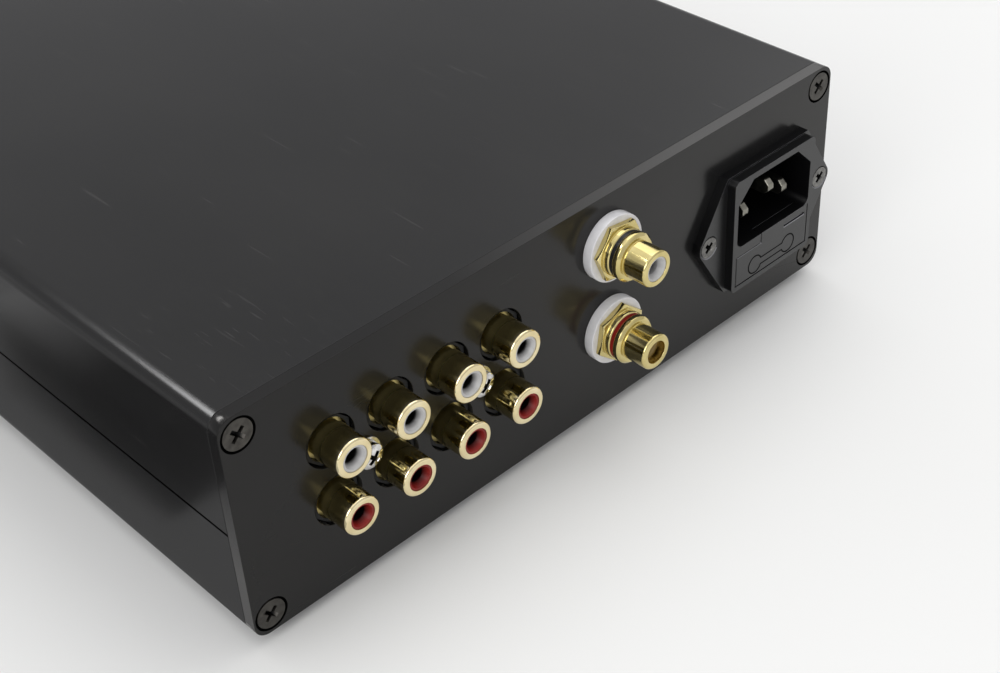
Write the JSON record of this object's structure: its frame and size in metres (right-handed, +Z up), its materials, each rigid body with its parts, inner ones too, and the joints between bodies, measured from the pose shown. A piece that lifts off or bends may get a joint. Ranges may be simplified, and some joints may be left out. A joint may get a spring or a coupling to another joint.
{
  "type": "remote control preamplifier",
  "caption": "Low black aluminium audio preamplifier in a split extruded case, with phono inputs and outputs, a fused mains inlet, turned front knobs and a push button.",
  "frame": {"origin": "centre of the part's box in plan, on the plane that the feet stand on", "axes": "+X to the right seen from the front, +Y from the knobs to the rear sockets, +Z up"},
  "size_m": [0.175, 0.2538, 0.058],
  "materials": {
    "black_anodised": "satin black anodised, fine brush lines",
    "black_knob": "turned and black anodised",
    "black_screw": "black oxide",
    "rubber": "matt",
    "black_moulding": "fine textured moulding",
    "nickel": "bright nickel plate",
    "gold": "bright gold plate",
    "white_moulding": "smooth white moulding",
    "red_moulding": "smooth red moulding",
    "amber_moulding": "smooth amber moulding",
    "black_ring": "smooth black moulding",
    "fuse_glass": "clear",
    "board": "green solder mask",
    "capacitor_sleeve": "printed sleeve left bare",
    "bare_aluminium": "mill finish",
    "brass": "plain",
    "winding": "wrapped tape",
    "steel": "zinc plated",
    "dark_window": "dark red infrared filter",
    "light_guide": "clear blue",
    "lead": "plain insulation"
  },
  "bodies": {
    "case": {"upper_shell": "black_anodised", "lower_shell": "black_anodised", "front_panel": "black_anodised", "rear_panel": "black_anodised", "front_panel_screws": "black_screw", "rear_panel_screws": "black_screw", "inlet_screws": "black_screw", "feet": "rubber", "transformer_pads": "rubber", "inlet_housing": "black_moulding", "input_block_housing": "black_moulding", "power_switch": "black_moulding", "signal_chips": "black_moulding", "bridge_rectifier": "black_moulding", "regulators": "black_moulding", "ir_receiver": "black_moulding", "inlet_pins": "nickel", "input_block_screws": "nickel", "input_contacts": "nickel", "board_screws": "nickel", "output_solder_tags": "nickel", "bushing_nuts": "nickel", "input_barrels": "gold", "output_jack_bodies": "gold", "output_nuts": "gold", "output_contacts": "gold", "white_input_insulators": "white_moulding", "white_output_insulator": "white_moulding", "output_washers": "white_moulding", "input_relays": "white_moulding", "red_input_insulators": "red_moulding", "red_marker_ring": "red_moulding", "coupling_capacitors": "red_moulding", "amber_output_insulator": "amber_moulding", "black_marker_ring": "black_ring", "main_board": "board", "power_board": "board", "front_board": "board", "source_encoder": "board", "filter_capacitors": "capacitor_sleeve", "heatsinks": "bare_aluminium", "volume_pot": "bare_aluminium", "volume_motor": "bare_aluminium", "board_standoffs": "brass", "front_spacers": "brass", "transformer": "winding", "transformer_dish": "steel", "transformer_bolt": "steel", "ir_window": "dark_window", "indicator_leds": "light_guide", "mains_leads": "lead"},
    "volume_control": {"volume_knob": "black_knob", "volume_set_screw": "black_screw", "volume_shaft": "steel"},
    "source_control": {"source_knob": "black_knob", "source_shaft": "steel"},
    "power_push": {"power_button": "bare_aluminium"},
    "fuse_carrier": {"fuse_drawer": "black_moulding", "fuse_glass": "fuse_glass", "fuse_caps": "nickel"}
  },
  "joints": [
    {"name": "volume_turn", "type": "hinge", "parent": "case", "child": "volume_control", "pos_m": [0.0475, -0.1079, 0.0305], "axis": [0, 1, 0], "range_deg": [-150, 150]},
    {"name": "source_turn", "type": "hinge", "parent": "case", "child": "source_control", "pos_m": [0, -0.1079, 0.0305], "axis": [0, 1, 0], "continuous": true},
    {"name": "power_press", "type": "slide", "parent": "case", "child": "power_push", "axis": [0, 1, 0], "range_m": [0, 0.0025], "stiffness_N_per_m": 800},
    {"name": "fuse_drawer_pull", "type": "slide", "parent": "case", "child": "fuse_carrier", "axis": [0, 1, 0], "range_m": [0, 0.016]}
  ]
}
